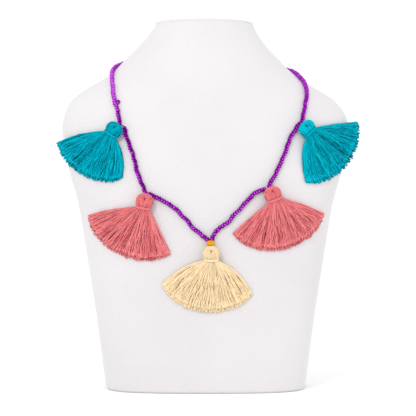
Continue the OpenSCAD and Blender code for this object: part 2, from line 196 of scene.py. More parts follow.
def node(tree, kind, values=None, **links):
    """Adds a node. values are its settings or plain inputs, and links are (node, output) pairs for
    its inputs by name."""
    new = tree.nodes.new("ShaderNode" + kind)
    for key, value in (values or {}).items():
        if hasattr(new, key):
            setattr(new, key, value)
        else:
            new.inputs[key].default_value = value
    for key, (source, output) in links.items():
        tree.links.new(source.outputs[output], new.inputs[key])
    return new


# %% Helpers for patterns
def object_place(tree):
    """Object coordinates, in metres, for patterns that fill a piece."""
    return node(tree, "TexCoord"), "Object"


def noise(tree, scale, detail):
    """A cloudy value from 0 to 1 that fills a piece."""
    return node(tree, "TexNoise", {"Scale": scale, "Detail": detail}, Vector=object_place(tree)), "Fac"


def uv_place(tree):
    """The UV map's u as X and its v as Y, for patterns that follow a surface."""
    return node(tree, "SeparateXYZ", {}, Vector=(node(tree, "UVMap", {"uv_map": "UVMap"}), "UV"))


def piece_tint(tree):
    """The value that every point of a piece carries."""
    return node(tree, "Attribute", {"attribute_name": "tint"}), "Fac"


def calc(tree, operation, *terms, vector=False):
    """A Math node on its terms, each a number, a list for a vector, or a (node, output) pair."""
    new = node(tree, "VectorMath" if vector else "Math", {"operation": operation})
    for socket, term in zip(new.inputs, terms):
        if isinstance(term, tuple):
            tree.links.new(term[0].outputs[term[1]], socket)
        else:
            socket.default_value = term
    return new, "Vector" if vector else "Value"


def weighted(tree, *pairs):
    """The sum of terms times their weights, from (term, weight) pairs."""
    total = 0.0
    for term, weight in pairs:
        total = calc(tree, "MULTIPLY_ADD", term, weight, total)
    return total


def wave_of(tree, phase):
    """sin(2 pi phase)."""
    return calc(tree, "SINE", calc(tree, "MULTIPLY", phase, 2 * np.pi))


# %% Helpers for colour and relief
def ramp(tree, factor, stops):
    """A colour ramp over a factor, with stops of (place, (red, green, blue))."""
    new = node(tree, "ValToRGB")
    tree.links.new(factor[0].outputs[factor[1]], new.inputs["Fac"])
    while len(new.color_ramp.elements) < len(stops):
        new.color_ramp.elements.new(1.0)
    for element, (place, colour) in zip(new.color_ramp.elements, stops):
        element.position = place
        element.color = (*colour, 1.0)
    return new, "Color"


def finish_with(tree, shader, colour, height=None, strength=0.3, distance=0.0001):
    """Joins a colour to the shader, and a height to its normal through a Bump node."""
    tree.links.new(colour[0].outputs[colour[1]], shader.inputs["Base Color"])
    if height:
        bump = node(tree, "Bump", {"Strength": strength, "Distance": distance}, Height=height)
        tree.links.new(bump.outputs["Normal"], shader.inputs["Normal"])


def vary_roughness(tree, shader, factor, low, high):
    """Roughness from low to high with a factor from 0 to 1."""
    rough = node(tree, "MapRange", {"To Min": low, "To Max": high}, Value=factor)
    tree.links.new(rough.outputs["Result"], shader.inputs["Roughness"])


# %% [markdown]
# ## The camera
#
# The photograph looks at the chest from straight ahead, from about the middle of the bust's height
# and a little over a metre away, with a long lens. The camera is made first, because every later
# render is compared with the photograph through it.

# %% Make the camera
camera_place = (1.9, -1112.0, 137.2)
camera_data = bpy.data.cameras.new("camera")
camera_data.lens = 125
camera_data.sensor_width = 36
camera = add_object("camera", camera_data)
camera.location = [c * MM for c in camera_place]
camera.rotation_euler = (np.pi / 2, 0, 0)
bpy.context.scene.camera = camera
print("Camera at", [round(c, 4) for c in camera.location], "metres")

# %% [markdown]
# ## The form of the bust
#
# A display bust is a padded or solid form covered in leatherette. Its level sections are rounded
# ovals, flatter at the front than an ellipse, so a superellipse fits: |x/a|^p + |y/d|^p = 1, with a
# its half width, d its depth to the front or the back, and p its squareness. The table gives these
# up the bust as shares of its size, the same as in the CAD source, and cubic pieces join the rows.

# %% Sections of the bust
base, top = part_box("neck_bust")
bust_h = round((top.z - base.z) / MM)
bust_half_w, bust_front, bust_back, bust_edge = 110.0, 52.0, 34.0, 2.0
# Columns: height, half width, front depth, back depth, squareness, sideways shift of the middle
bust_rows = np.array([
    [0.000, 0.690, 0.885, 0.970, 3.10, 0.000],
    [0.080, 0.718, 0.920, 1.000, 3.10, 0.000],
    [0.200, 0.760, 0.960, 1.000, 3.00, 0.000],
    [0.360, 0.824, 1.000, 1.000, 2.90, 0.000],
    [0.500, 0.885, 1.000, 1.000, 2.70, 0.000],
    [0.600, 0.955, 0.955, 1.000, 2.55, 0.000],
    [0.700, 1.000, 0.845, 1.000, 2.40, 0.000],
    [0.750, 0.975, 0.770, 0.985, 2.35, -0.005],
    [0.786, 0.914, 0.705, 0.960, 2.30, -0.018],
    [0.811, 0.823, 0.665, 0.930, 2.25, -0.026],
    [0.854, 0.650, 0.600, 0.870, 2.15, -0.024],
    [0.896, 0.538, 0.545, 0.780, 2.10, -0.024],
    [0.940, 0.430, 0.515, 0.720, 2.05, -0.018],
    [0.985, 0.350, 0.500, 0.700, 2.00, -0.010],
    [1.000, 0.341, 0.500, 0.700, 2.00, -0.008],
])


# %% Points of the skin
def smooth_rows(rows, share):
    """A table's other columns at shares of its first: cubic pieces through the rows, whose slope at
    a row is that of the straight line between its two neighbours."""
    marks, values = rows[:, 0], rows[:, 1:]
    padded = np.pad(rows, ((1, 1), (0, 0)), "edge")
    slope = (padded[2:, 1:] - padded[:-2, 1:]) / (padded[2:, :1] - padded[:-2, :1])
    share = np.clip(share, marks[0], marks[-1])
    i = np.clip(np.searchsorted(marks, share, side="right") - 1, 0, len(marks) - 2)
    gap = (marks[i + 1] - marks[i])[..., None]
    u = (share - marks[i])[..., None] / gap
    return cubic(values[i], values[i + 1], slope[i] * gap, slope[i + 1] * gap, u)


def section(height):
    """Half width, front depth, back depth, squareness and middle of the bust at a height."""
    row = smooth_rows(bust_rows, np.asarray(height, float) / bust_h)
    return (row[..., 0] * bust_half_w, row[..., 1] * bust_front, row[..., 2] * bust_back,
            row[..., 3], row[..., 4] * bust_half_w)


def skin(turn, height, inset=0.0):
    """Point of the bust's skin: x = middle + a sin(t)^(2/p) and y = -d cos(t)^(2/p), with signs kept,
    t in degrees round from the middle of the front."""
    half, front, back, square, middle = section(height)
    across, ahead = np.sin(np.radians(turn)), np.cos(np.radians(turn))
    depth = np.where(ahead > 0, front, back) - inset
    x = middle + (half - inset) * signed_power(across, 2 / square)
    y = -depth * signed_power(ahead, 2 / square)
    return np.stack(np.broadcast_arrays(x, y, np.asarray(height, float)), -1)


def skin_out(turn, height, step=0.5):
    """The way straight out of the skin: square to its slopes round and up."""
    around = skin(turn + step, height) - skin(turn - step, height)
    up = skin(turn, height + step) - skin(turn, height - step)
    return unit(np.cross(around, up))


print("Bust", bust_h, "mm high, widest", round(float(section(0.7 * bust_h)[0]) * 2, 1), "mm")

# %% [markdown]
# ## The bust's shell
#
# The CAD bust has flat facets round it. Here the same formula is sampled finely, so that
# it shades smoothly. The turns are spaced evenly as seen from the middle of the section, because
# equal steps of t would leave wide gaps at the flat front. The leatherette is wrapped over rounded
# top and bottom edges, and its flat cap is sewn on just under the top: a thin sunken seam.

# %% Make the bust
bust_around, bust_up = 300, 190
seam_drop, seam_depth, seam_half = 1.9, 0.45, 0.45


def bust_part():
    """Rings of skin from the middle of the base to the middle of the top. Inset at a rounded edge is
    r - sqrt(r^2 - (r - h)^2) at a height h from it, and the seam is a narrow bell-shaped groove."""
    edge = bust_edge * (1 - np.cos(np.radians(np.linspace(0, 90, 7)[:-1])))
    near_top = bust_h - seam_drop + seam_half * np.array([-2.4, -1.4, -0.8, -0.4, 0, 0.4, 0.8, 1.4])
    body = np.linspace(bust_edge, bust_h - seam_drop - 3 * seam_half, bust_up)
    height = np.unique(np.concatenate([edge, body, near_top, bust_h - edge]))
    from_end = np.minimum(height, bust_h - height)
    reach = np.clip(bust_edge - from_end, 0, bust_edge)
    inset = bust_edge - np.sqrt(bust_edge**2 - reach**2)
    inset = inset + seam_depth * bell((height - bust_h + seam_drop) / seam_half)
    polar = round_turn(bust_around)[None, :]
    half, front, back, square = (value[:, None] for value in section(height)[:4])
    depth = np.where(np.cos(polar) > 0, front, back)
    turn = np.degrees(np.arctan2(signed_power(np.sin(polar) / half, square / 2),
                                 signed_power(np.cos(polar) / depth, square / 2)))
    rings = skin(turn, height[:, None], inset[:, None])
    shares = np.array([0.02, 0.25, 0.5, 0.75, 0.93])[:, None, None]
    centres = [np.array([section(h)[4], 0, h]) for h in (height[0], height[-1])]
    bottom = centres[0] + (rings[0] - centres[0]) * shares
    lid = centres[1] + (rings[-1] - centres[1]) * shares[::-1]
    return closed_part(np.concatenate([bottom, rings, lid]), 0.0)


# %% [markdown]
# ## Leatherette
#
# White leatherette has a fine pebble grain: flat rounded cells a millimetre across with narrow
# valleys between. A Voronoi texture gives such cells, and a noise bends its coordinates so that they
# aren't too regular. The colour is nearly one white, with the valleys painted a little darker as
# shade, and the sheen of the coating is broken up by a slow change of roughness.

# %% Leatherette and the bust piece
def leatherette(bend_reach=0.0011):
    """Pebble grain: the height is one less the distance to the nearest cell's middle, on bent
    coordinates. The colour darkens with that distance, as painted shade in the grain's valleys."""
    material, tree, shader = surface(
        "bust_leatherette", Specular_IOR_Level=0.4, Sheen_Weight=0.3, Sheen_Roughness=0.3)
    bend = noise(tree, 420.0, 3.0)[0], "Color"
    bent = calc(tree, "MULTIPLY_ADD", bend, [bend_reach] * 3, object_place(tree), vector=True)
    valley = node(tree, "TexVoronoi", {"Scale": 950.0}, Vector=bent), "Distance"
    fine, broad = noise(tree, 5200.0, 2.0), noise(tree, 14.0, 2.0)
    height = weighted(tree, (calc(tree, "SUBTRACT", 1.0, valley), 1.0), (fine, 0.15))
    # Painted shade in the grain's valleys, and a slow noise that varies the tone
    shade = weighted(tree, (valley, -0.35), (broad, 0.8))
    colour = ramp(tree, shade, [(0.0, (0.66, 0.64, 0.655)), (0.5, (0.72, 0.70, 0.71))])
    finish_with(tree, shader, colour, height, strength=0.28, distance=0.00012)
    vary_roughness(tree, shader, broad, 0.42, 0.58)
    return material


make_piece("bust", bust_part(), leatherette(), ["neck_bust"])

# %% [markdown]
# ## What lies on the chest
#
# Beads and tassels lie on the front of the bust, so they are placed by how far out and how high they
# are, and lifted off the surface there. Past 0.86 of the half width the side turns away steeply, and
# a tassel doesn't follow it all the way: its yarn goes straight on. So the depth is carried on as a
# straight line from there, as it is in the CAD source.

# %% Places on the front of the bust
drape_limit = 0.86
lay_gap = 0.4


def front_depth(x, z):
    """Depth d (1 - q^p)^(1/p) of the front at q = |x - middle| / a, straight on past the limit."""
    half, front, _, square, middle = section(z)
    share = np.abs(x - middle) / half
    near = np.minimum(share, drape_limit)
    slope = front * near ** (square - 1) * (1 - near**square) ** (1 / square - 1)
    return front * (1 - near**square) ** (1 / square) - slope * np.maximum(share - drape_limit, 0)


def over_front(x, z, lift, step=0.5):
    """The point of the front at x and z, moved out by a lift along the way straight off it."""
    x, z, lift = np.broadcast_arrays(np.asarray(x, float), np.asarray(z, float), lift)
    dx = front_depth(x + step, z) - front_depth(x - step, z)
    dz = front_depth(x, z + step) - front_depth(x, z - step)
    out = unit(np.stack([-dx, np.full_like(dx, -2 * step), -dz], -1))
    return np.stack([x, -front_depth(x, z), z], -1) + out * lift[..., None]


# %% [markdown]
# ## The route of the beads
#
# One thread carries all the beads. It comes out of the clasp behind the neck, goes over the shoulder,
# turns inside the head of the upper tassel, again inside the head of the lower one, and meets the
# other side in the orange bead. The chosen points are those of the CAD source: the first leg by
# degrees round the bust and height, the others by place out to the right and height. A real string
# doesn't hang quite smoothly, so beads and thread both stray a little to the side on the chest.

# %% Legs of the two strands
bead_d, bead_pitch = 3.0, 2.07
strand_lift = bead_d / 2 + 0.15
strand_route = {
    "left": [
        [[-172, 251], [-150, 251], [-128, 251], [-108, 249], [-92, 245.5], [-80, 242], [-66, 237.5],
         [-46.8, 228.5], [-37.4, 218.3], [-33.2, 209], [-31.3, 199.6]],
        [[-60.6, 198.1], [-57.3, 187], [-53, 175], [-50, 163.5], [-46, 153.5], [-43.9, 148.6]],
        [[-40.6, 147.7], [-37.4, 145.3], [-32, 143.2], [-24, 138.4], [-15.8, 130.4], [-9.8, 123.6],
         [-4, 118.3], [1.1, 114.3]],
    ],
    "right": [
        [[172, 251], [150, 249.5], [128, 246.8], [106, 243.5], [88, 240], [75.5, 236],
         [66.2, 231.4], [52.6, 223.7], [44.1, 216.1], [40.2, 210], [36.9, 201.1]],
        [[68, 197.8], [62.5, 188.5], [58.5, 177.5], [53, 165.5], [49, 158], [46.4, 153.2]],
        [[43.1, 151.1], [39.3, 149.5], [33.6, 146], [28.2, 139.7], [23, 134.2], [17.3, 127.6],
         [11.2, 122.8], [7, 119.4], [4.9, 114.4]],
    ],
}


# %% Smooth paths
def read_off(wanted, marks, rows):
    """Rows of a table at wanted places between its marks, by straight lines."""
    return np.stack([np.interp(wanted, marks, column) for column in rows.T], -1)


def smooth_path(points, step):
    """Points about a step apart on the smooth curve through the given ones. Each piece is a cubic
    whose slopes are those between a point's neighbours, and equal lengths are read off it."""
    points = np.asarray(points, float)
    slope = np.gradient(points, axis=0)
    u = np.linspace(0, 1, 17)[:-1, None, None]
    fine = cubic(points[:-1], points[1:], slope[:-1], slope[1:], u)
    fine = np.concatenate([fine.transpose(1, 0, 2).reshape(-1, 3), points[-1:]])
    marks = np.concatenate([[0], np.cumsum(np.linalg.norm(np.diff(fine, axis=0), axis=1))])
    count = max(int(round(marks[-1] / step)), 2)
    return read_off(np.linspace(0, marks[-1], count + 1), marks, fine)


def leg_path(side, leg, lift=strand_lift, step=0.5):
    """One leg as close points: the chosen places lifted off the skin, joined smoothly."""
    route = np.array(strand_route[side][leg], float)
    if leg == 0:
        places = skin(route[:, 0], route[:, 1]) + skin_out(route[:, 0], route[:, 1]) * lift
    else:
        places = over_front(route[:, 0], route[:, 1], lift)
    return smooth_path(places, step)


def stray(points, slow=0.22, quick=0.12):
    """How far the string strays to its side on the chest, in millimetres: a slow sine over the height
    and a quick one that x shifts, faded out towards the shoulders and above the orange bead."""
    x, y, z = np.moveaxis(points, -1, 0)
    on_chest = ease(0, 30, -y) * ease(112, 120, z)
    return on_chest * (slow * np.sin(0.75 * z) + quick * np.sin(1.7 * z + x))


# %% [markdown]
# ## Seed beads
#
# A seed bead is a slice of glass cane, tumbled round: a fat ring a little wider than it is long, with
# a bore down the middle. Its section is a rounded oval beside the axis, turned round it in a few
# steps, because there are over two hundred of them. Each bead sits square to the curve, apart from
# a slight tilt, slip and difference in size, as cane beads have. One bead of the left strand, a
# little below the shoulder, has been pushed out of the row and stands off its inner side. Its place
# is counted from the clasp. At the teal tassels one bead is left out on the left, so that a little
# thread shows, and one more closes the step on the right. The beads near the shoulders catch more
# light, so their tint grows with height: painted light that makes them paler.

# %% Rings turned round an axis
def turned(profile, sides):
    """A closed section of [radius, along] carried round an axis: points in the directions side, up
    and along. The section runs forward on the outside and back through the bore."""
    turn = round_turn(sides)
    radius, along = profile[:, 0, None], profile[:, 1, None]
    points = np.stack(np.broadcast_arrays(radius * np.cos(turn), radius * np.sin(turn), along), -1)
    return points.reshape(-1, 3), grid(len(profile), sides, loop=True)


# %% Places of the beads
# Columns: share of the bead's radius, share of half its length
bead_section = np.array([[0.32, -0.7], [0.74, -1.0], [1.0, -0.45],
                         [1.0, 0.45], [0.74, 1.0], [0.32, 0.7]])
bead_half = 0.49 * bead_pitch
bead_tilt, bead_spread, bead_wider, bead_slip = 0.055, 0.04, 0.1, 0.12
odd_bead, odd_shift, odd_tint = 55, [2.7, -0.2, -0.3], 1.0
# Heights over which the beads are painted paler, as painted light that grows towards the shoulders
painted_light_from, painted_light_to = 192, 232


def bead_places(side):
    """Middles and ways of a side's beads, at even steps along each leg from end to end. The left
    side leaves out a bead beside the teal tassel, and the right side has one more there."""
    middles, ways = [], []
    for leg in range(3):
        path = leg_path(side, leg)
        length = (len(path) - 1) * np.linalg.norm(path[1] - path[0])
        at = np.linspace(0, 1, int(round(length / bead_pitch)) + 1) * (len(path) - 1)
        middles.append(read_off(at, np.arange(len(path)), path))
        ways.append(read_off(at, np.arange(len(path)), np.gradient(path, axis=0)))
        print(side, "leg", leg + 1, "is", round(length, 1), "mm long")
    for rows in (middles, ways):
        if side == "left":
            rows[1] = rows[1][1:]
        else:
            rows.insert(1, (rows[0][-1:] + rows[1][:1]) / 2)
    return np.concatenate(middles), unit(np.concatenate(ways))


# %% Strings of beads
def bead_string(side, rng):
    """Every bead of a side: a turned ring times its size, turned by its three axes and moved to its
    middle. The axes of the loose bead change places, so that it lies on its side."""
    ring, (faces, corners) = turned(bead_section * [bead_d / 2, bead_half], 12)
    middles, ways = bead_places(side)
    count = len(middles)
    along = unit(ways + rng.normal(0, bead_tilt, (count, 3)))
    across = unit(np.cross(middles * [bust_front / bust_half_w, 1, 0], along))
    axes = np.stack([across, np.cross(along, across), along], 1)
    size = 1 + rng.normal(0, bead_spread, (count, 1, 3)).clip(-0.09, 0.06) + [bead_wider, bead_wider, 0]
    size[:, :, 1] = size[:, :, 0]
    # A random tone for each bead, plus painted light that grows with height
    tint = 0.7 * rng.random(count) + 1.2 * ease(painted_light_from, painted_light_to, middles[:, 2])
    aside = stray(middles) + rng.normal(0, bead_slip, count).clip(-0.2, 0.2)
    middles = middles + across * aside[:, None]
    if side == "left":
        middles = np.vstack([middles, middles[odd_bead] + odd_shift])
        axes = np.concatenate([axes, axes[odd_bead][None, [1, 2, 0]]])
        size, tint, count = np.concatenate([size, size[:1]]), np.append(tint, odd_tint), count + 1
    print(side, "string has", count, "beads")
    points = middles[:, None] + (ring * size) @ axes
    blocks = [(repeated(faces, count, len(ring)), np.tile(corners, (count, 1, 1)))]
    return points.reshape(-1, 3), blocks, np.repeat(tint, len(ring))


# %% [markdown]
# ## Purple glass
#
# These beads are deep purple glass with a bright lining in the bore. Their light and shade are
# painted into the colour. A small magenta spot at the fat middle of the side that faces away from the
# bust is a painted highlight for the glint of the lamp and the lining seen through the glass, and the
# side that faces outwards is painted a little lighter. The rest stays dark, partly because there one
# looks through more glass and partly as painted shade towards the ends and sides. u of the UV map runs
# round the bead, with a quarter turn where it faces away from the bust, and v runs round its section.
# So the spot is a power of sin 2 pi u times a power of the cosine over v, and the tint moves it a
# little from bead to bead.

# %% Glass and the bead strings
def bead_glass():
    """A painted highlight at the fat middle of the side that faces outwards, and painted shade
    towards the ends.
    """
    material, tree, shader = surface("seed_bead_glass", Roughness=0.25, Specular_IOR_Level=0.05)
    places, tint = uv_place(tree), piece_tint(tree)
    turned_by = calc(tree, "MULTIPLY", calc(tree, "SUBTRACT", tint, 0.5), 0.16)
    outside = calc(tree, "MAXIMUM", wave_of(tree, calc(tree, "ADD", (places, "X"), turned_by)), 0.0)
    section_turn = calc(tree, "MULTIPLY_ADD", (places, "Y"), 2 * np.pi / 6, np.pi / 6 - np.pi)
    fat = calc(tree, "MAXIMUM", calc(tree, "COSINE", section_turn), 0.0)
    # The spot is a painted highlight on the outward side, at the bead's fat middle
    painted_highlight = calc(tree, "MULTIPLY", calc(tree, "POWER", outside, 8.0), calc(tree, "POWER", fat, 3.0))
    # The outward side is painted lighter, the spot adds the painted highlight, and the ramp's dark end
    # is painted shade
    shade = weighted(tree, (outside, 0.1), (tint, 0.3), (noise(tree, 900.0, 2.0), 0.2), (painted_highlight, 0.6))
    colour = ramp(tree, shade, [(0.1, (0.11, 0.0, 0.16)), (0.4, (0.24, 0.0, 0.31)),
                                (1.0, (0.66, 0.09, 0.84))])
    finish_with(tree, shader, colour)
    return material


glass = bead_glass()
for side, seed in (("left", 11), ("right", 12)):
    make_piece("seed_beads_" + side, bead_string(side, np.random.default_rng(seed)),
               glass, ["bead_strand_" + side])

# %% [markdown]
# ## Tubes for thread and yarn
#
# Thread and yarn are all tubes, and there are over three thousand of them. So one function makes any
# number at once: at each ring it takes the path's direction, a side square to it, and the way that is
# square to both, and sets a small circle of points there. The UV map runs once round the tube, and
# along it in millimetres, so a twist can be painted that keeps its pitch on every yarn.

# %% Many tubes at once
def tubes(paths, radii, out, sides, tint):
    """Closed tubes: a ring's points are path + radius (side cos a + up sin a). paths and out are
    (tube, ring, 3), radii is (tube, ring), and tint has a value for each tube or for each ring."""
    count, rings = paths.shape[:2]
    along = unit(np.gradient(paths, axis=1))
    side = unit(np.cross(out, along))
    up = np.cross(along, side)
    turn = round_turn(sides)[:, None]
    circle = side[:, :, None] * np.cos(turn) + up[:, :, None] * np.sin(turn)
    points = paths[:, :, None] + radii[:, :, None, None] * circle
    steps = np.linalg.norm(np.diff(paths, axis=1), axis=2)
    lengths = np.concatenate([np.zeros((count, 1)), np.cumsum(steps, axis=1)], 1)
    faces, corners = grid(rings, sides)
    corners = np.tile(corners, (count, 1, 1, 1))
    tube = np.arange(count)[:, None, None]
    corners[..., 1] = lengths[tube, corners[..., 1].astype(int)]
    ends = repeated(end_faces(rings, sides), count, rings * sides)
    blocks = [(repeated(faces, count, rings * sides), corners.reshape(-1, 4, 2)),
              (ends, np.zeros((*ends.shape, 2)))]
    tint = np.broadcast_to(tint.reshape(count, -1), (count, rings))
    return points.reshape(-1, 3), blocks, np.repeat(tint.ravel(), sides)


# %% [markdown]
# ## Where the tassels lie
#
# There are five tassels: a cream one at the lowest point, and a pink and a teal one on each side. Each
# lies on the chest with its skirt fanned out. The table gives the place of the head, how far it leans
# and how the skirt fans. `on_tassel` turns a place on a tassel, across it, down it and off the bust,
# into a place in the frame.

# %% Places on a tassel
head_w, head_h, head_t = 12.6, 9.0, 9.6
neck_w, neck_t = 10.0, 6.4
binding_h, binding_t = 1.8, 0.7
skirt_l, skirt_t = 37.0, 7.0
fit_gap = 0.25
# Columns: out to the right and height of the binding's lower edge, lean, share of head_h, first and
# last direction of the skirt, shares of its length at its left, middle and right, and how much wider
# its left and right edges spread near the neck
tassels = {
    "cream": [4.3, 98.9, 0, 1.00, -61, 46, 0.98, 1.03, 0.96, 0.38, 0.38],
    "pink_left": [-45.1, 136.7, -14, 1.03, -81, 25, 1.02, 1.02, 0.96, 0.15, 0.02],
    "pink_right": [50.3, 142.8, 23, 0.93, -49, 71, 0.93, 0.98, 0.96, 0.05, 0.10],
    "teal_left": [-69.4, 190.4, -39, 0.92, -80, 9, 1.06, 0.95, 0.77, 0.30, 0.50],
    "teal_right": [76.9, 192.5, 47, 0.82, 1, 101, 0.90, 0.98, 0.95, 0.40, 0.10],
}
head_lift = lay_gap + head_t / 2
neck_lift = lay_gap + binding_t + fit_gap + neck_t / 2


def spot(name, across, down):
    """Out to the right and height of a place on a tassel: (across, down) turned by the lean, counted
    from the middle of the binding's lower edge."""
    out, height, lean = tassels[name][:3]
    c, s = np.cos(np.radians(lean)), np.sin(np.radians(lean))
    return out + across * c + down * s, height + across * s - down * c


def on_tassel(name, across, down, lift):
    """The place across and down a tassel, lifted off the bust."""
    return over_front(*spot(name, across, down), lift)


def head_down(name, share):
    """How far down the tassel a share of its head's height is, counted from the head's top."""
    return -binding_h - head_h * tassels[name][3] * (1 - share)


# %% [markdown]
# ## The skirt of a tassel
#
# A skirt is over six hundred cut ends of twisted cotton. Squeezed together at the neck, they spread
# into a fan and thin out over the bust. Each yarn gets a place across the fan, q from -1 to 1, and a
# place in the heap, h from 0 at the bust to 1 on top. Its path is the fan's formula at that q and h,
# and its length is a parabola over q through the shares at the fan's left, middle and right.
#
# Three things make it cotton and not a comb. Yarns lean towards a lock of their neighbours, and each
# lock is a rounded bundle, lower at its sides, that sways as a slow sine and crosses its neighbours.
# Here and there they part: a slit pushes the yarns on its two sides away, and the dark of the heap
# shows in it. And the last bit of every yarn curls aside. The upper yarns are cut shorter than the
# lower ones, and just beyond their ends a painted shadow darkens the lower yarns. The cut ends are
# paler, and a few stick out of the hem. Each skirt also falls into a few large bundles: the table of
# furrows says where, and there the heap is lower and painted darker as shade. The tint also carries
# painted light and shade: the upper yarns are lighter, and the yarns at the sides of a lock and at
# the neck are darker. Every chance number comes from a seeded generator, so each run gives the same
# tassel.

# %% Tables of the skirts
# In millimetres: a yarn's radius, how far it is crimped, how far its end curls, how far it rises
yarn_r, crimp, end_curl, rise = 0.35, 0.34, 0.5, 0.5
lock_count, slit_count, slit_reach = 34, 90, 0.03
# Columns: share of the skirt's length, its thickness as a share of skirt_t
heap_rows = np.array([[0.0, 0.92], [0.12, 1.0], [0.30, 0.86], [0.52, 0.72], [0.76, 0.60], [1.0, 0.44]])
# Columns: how much shorter the upper yarns are cut, which also sets the painted shadow beyond their
# ends, how far the slits open, how uneven the hem is
skirt_habits = {
    "cream": [0.07, 0.5, 0.55],
    "pink_left": [0.07, 1.0, 0.9],
    "pink_right": [0.07, 1.0, 0.8],
    "teal_left": [0.08, 0.8, 1.0],
    "teal_right": [0.09, 0.8, 1.1],
}
# Columns: place across the fan, half width, depth as a share of the heap, which also sets how dark the
# furrow is painted as shade; one row for each furrow
furrows = {
    "cream": [[-0.45, 0.05, 0.15], [0.35, 0.05, 0.15]],
    "pink_left": [[-0.62, 0.05, 0.45], [0.05, 0.06, 0.35], [0.6, 0.05, 0.35]],
    "pink_right": [[-0.35, 0.06, 0.4], [0.2, 0.05, 0.4], [0.65, 0.04, 0.3]],
    "teal_left": [[-0.3, 0.05, 0.4], [0.45, 0.05, 0.6], [0.8, 0.04, 0.4]],
    "teal_right": [[-0.35, 0.05, 0.5], [0.15, 0.06, 0.8], [0.6, 0.05, 0.5]],
}
print("Yarns are", 2 * yarn_r, "mm thick")


# %% Locks and slits
def in_locks(q, h, run, rng):
    """Places across the fan, drawn to the middle of a lock: q + pull (middle - q), and a slow sine
    along the yarn. Then how firmly the lock holds, how far a yarn is from its middle, from 0 to 1,
    and four random numbers of its lock."""
    evenly = np.linspace(-1, 1, lock_count + 1)
    edges = evenly + np.pad(rng.uniform(-0.028, 0.028, lock_count - 1), 1)
    lock = np.clip(np.searchsorted(edges, q[:, 0], side="right") - 1, 0, lock_count - 1)
    middle = ((edges[lock + 1] + edges[lock]) / 2)[:, None]
    half = ((edges[lock + 1] - edges[lock]) / 2)[:, None]
    pull = rng.uniform(0, 0.3, lock_count)[lock][:, None]
    sway = rng.normal(0, 1, (4, lock_count))[:, lock][..., None]
    aside = np.clip(np.abs(q - middle) / half, 0, 1)
    held = ease(0.08, 0.6, run) * (1 - 0.7 * ease(0.85, 1, run)) * ease(0.1, 0.4, h)
    astray = rng.normal(0, 0.02, q.shape) * run
    fan = q + astray + pull * held * (middle - q) + 0.012 * held * sway[0]
    fan = fan + 0.018 * held * sway[1].clip(-1.5, 1.5) * np.sin((6 + sway[2]) * run + 2 * sway[3])
    return np.where(np.abs(fan) > 1, 2 * np.sign(fan) - fan, fan), held, aside, sway


def opened(name, fan, h, run, rng):
    """Upper yarns pushed off the slits, by a push times a bell over beside and along."""
    slit, middle = rng.uniform(-0.95, 0.95, slit_count), rng.uniform(0.12, 0.95, slit_count)
    reach, push = rng.uniform(0.03, 0.10, slit_count), rng.uniform(0.004, 0.013, slit_count)
    beside = fan[..., None] - slit
    near = bell(beside / slit_reach, (run[..., None] - middle) / reach)
    pushed = (push * np.sign(beside) * near).sum(-1)
    return fan + pushed * ease(0.25, 0.6, h) * skirt_habits[name][1]


# %% Lift and shade of the yarns
def skirt_lift(name, q, h, fan, run, held, aside, sway):
    """How far yarns lie off the bust: in the neck's oval at first, then at the share h of the heap,
    lower at the sides of a lock and in a furrow. Then how deep in a furrow they are."""
    thick = skirt_t * smooth_rows(heap_rows, run)[..., 0] * (1 - 0.45 * np.abs(fan) ** 3)
    floor = mix(neck_lift - neck_t / 2, lay_gap, np.clip(run / 0.25, 0, 1))
    on_heap = floor + yarn_r + h * (thick - 2 * yarn_r)
    in_neck = neck_lift + (2 * h - 1) * (neck_t / 2 - yarn_r) * np.cos(np.radians(90 * q))
    lift = mix(in_neck, on_heap, ease(0, 0.16, run))
    lift = lift + held * (0.25 * sway[2].clip(-1.5, 1.5) - 0.7 * aside**2) * ease(0.2, 0.8, h)
    place, wide, deep = np.array(furrows[name]).T
    hollow = (deep * bell((fan[..., None] - place) / wide)).sum(-1) * ease(0.05, 0.3, run)
    return lift - 0.75 * hollow * (lift - lay_gap - yarn_r), hollow


def skirt_tint(name, h, upper, run, hollow, aside, sway, crimps, rng):
    """Tints of the yarns: each its own, and paler at the cut end. Painted light makes the upper yarns
    of the heap lighter, and painted shade makes yarns darker at the sides of a lock, in a furrow, at
    the neck, and, as a painted shadow, just beyond the ends of the shorter upper yarns."""
    top_cut = skirt_habits[name][0]
    # Each yarn's own tone and its lock's, less painted shade at the sides of the lock
    tint = rng.normal(0.38, 0.17, h.shape) + 0.1 * sway[0].clip(-1.5, 1.5) - 0.1 * aside
    # Painted light on the upper yarns of the heap, and painted shade in a furrow
    tint = tint + 0.3 * ease(0.3, 0.6, h) - 0.35 * hollow
    tint = tint + 0.08 * np.sin(crimps) + rng.normal(0, 0.1, crimps.shape)
    cut = ease(mix(0.98, 0.93, ease(0.3, 0.6, h)), 1, run)
    # A painted shadow on the lower yarns just beyond the ends of the upper ones
    painted_shadow = bell((run - 1 + top_cut - 0.015) / 0.018) * (1 - upper)
    # Paler cut ends, painted shade at the neck, and the painted shadow
    return tint + 0.3 * cut - 0.12 * (1 - ease(0, 0.15, run)) - 3 * top_cut * painted_shadow


